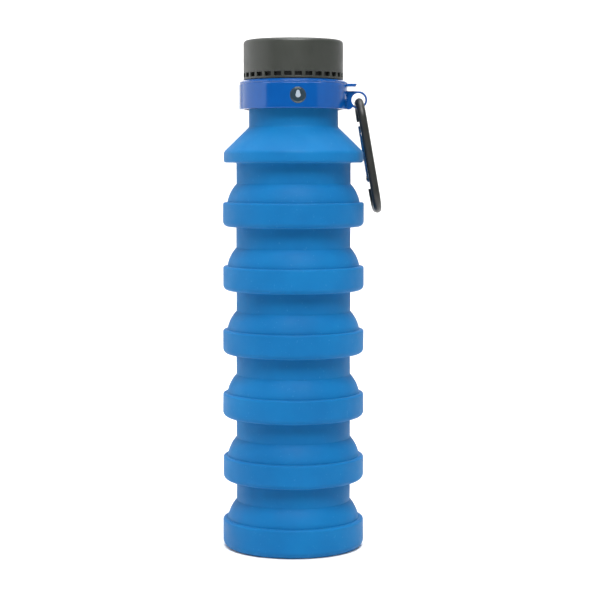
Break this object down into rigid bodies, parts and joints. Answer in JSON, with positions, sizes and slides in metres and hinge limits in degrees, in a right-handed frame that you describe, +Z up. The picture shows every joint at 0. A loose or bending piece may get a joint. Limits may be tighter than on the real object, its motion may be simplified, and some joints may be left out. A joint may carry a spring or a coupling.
{
  "type": "folding water bottle",
  "caption": "Folding silicone bottle with stacked collapsing rings, threaded screw cap, clip collar with eyelet, and a sprung-gate snap hook.",
  "frame": {"origin": "centre of the flat underside of the base", "axes": "+Z up along the bottle's axis, -Y the front with the badge, +X towards the eyelet and snap hook"},
  "size_m": [0.0743, 0.0664, 0.2376],
  "materials": {
    "silicone": "matte moulded silicone, mid blue",
    "collar_plastic": "polished, deep blue",
    "cap_plastic": "fine matte, dark grey",
    "insert_plastic": "matte, brown-black",
    "mouth_plastic": "satin, blue",
    "gasket_silicone": "matte, translucent white",
    "badge_plastic": "gloss print, near black",
    "hook_paint": "black anodised, satin",
    "gate_metal": "polished, blue-grey",
    "steel": "plain"
  },
  "bodies": {
    "base": {"base_cup": "silicone", "fold_web_6": "silicone"},
    "ring_5_body": {"ring_5": "silicone", "fold_web_5": "silicone"},
    "ring_4_body": {"ring_4": "silicone", "fold_web_4": "silicone"},
    "ring_3_body": {"ring_3": "silicone", "fold_web_3": "silicone"},
    "ring_2_body": {"ring_2": "silicone", "fold_web_2": "silicone"},
    "ring_1_body": {"ring_1": "silicone", "fold_web_1": "silicone"},
    "neck": {"shoulder": "silicone", "neck_insert": "mouth_plastic", "collar": "collar_plastic", "collar_badge": "badge_plastic"},
    "cap_seal": {"cap_gasket": "gasket_silicone"},
    "cap": {"cap_shell": "cap_plastic", "cap_thread_insert": "insert_plastic"},
    "snap_hook": {"carabiner_body": "hook_paint", "gate_rivet": "steel"},
    "gate": {"carabiner_gate": "gate_metal", "gate_latch_pin": "steel", "gate_spring": "steel"},
    "plunger": {"gate_plunger": "steel"}
  },
  "joints": [
    {"name": "fold_6", "type": "slide", "parent": "base", "child": "ring_5_body", "axis": [0, 0, 1], "range_m": [-0.0176, 0], "deforming": ["fold_web_6"]},
    {"name": "fold_5", "type": "slide", "parent": "ring_5_body", "child": "ring_4_body", "axis": [0, 0, 1], "range_m": [-0.0176, 0], "deforming": ["fold_web_5"]},
    {"name": "fold_4", "type": "slide", "parent": "ring_4_body", "child": "ring_3_body", "axis": [0, 0, 1], "range_m": [-0.0176, 0], "deforming": ["fold_web_4"]},
    {"name": "fold_3", "type": "slide", "parent": "ring_3_body", "child": "ring_2_body", "axis": [0, 0, 1], "range_m": [-0.0176, 0], "deforming": ["fold_web_3"]},
    {"name": "fold_2", "type": "slide", "parent": "ring_2_body", "child": "ring_1_body", "axis": [0, 0, 1], "range_m": [-0.0176, 0], "deforming": ["fold_web_2"]},
    {"name": "fold_1", "type": "slide", "parent": "ring_1_body", "child": "neck", "axis": [0, 0, 1], "range_m": [-0.0176, 0], "deforming": ["fold_web_1"]},
    {"name": "cap_lift", "type": "slide", "parent": "neck", "child": "cap_seal", "axis": [0, 0, 1], "range_m": [0, 0.018]},
    {"name": "cap_turn", "type": "hinge", "parent": "cap_seal", "child": "cap", "pos_m": [0, 0, 0.2194], "axis": [0, 0, 1], "range_deg": [0, 540]},
    {"name": "snap_hook_swing", "type": "hinge", "parent": "neck", "child": "snap_hook", "pos_m": [0.0303, 0, 0.2101], "axis": [0, -1, 0], "range_deg": [0, 150]},
    {"name": "gate_swing", "type": "hinge", "parent": "snap_hook", "child": "gate", "pos_m": [0.0364, 0.01085, 0.17401], "axis": [0.985, 0.0175, 0.1717], "range_deg": [0, 28], "stiffness_Nm_per_rad": 0.02, "springref_deg": -17.19},
    {"name": "plunger_slide", "type": "slide", "parent": "gate", "child": "plunger", "axis": [-0.1717, 0, 0.9852], "range_m": [0, 0.0006], "deforming": ["gate_spring"]}
  ],
  "couplings": [
    {"joint": "cap_turn", "follows": "cap_lift", "rad_per_m": 523.6},
    {"joint": "plunger_slide", "follows": "gate_swing", "m_per_rad": 0.0012278}
  ]
}
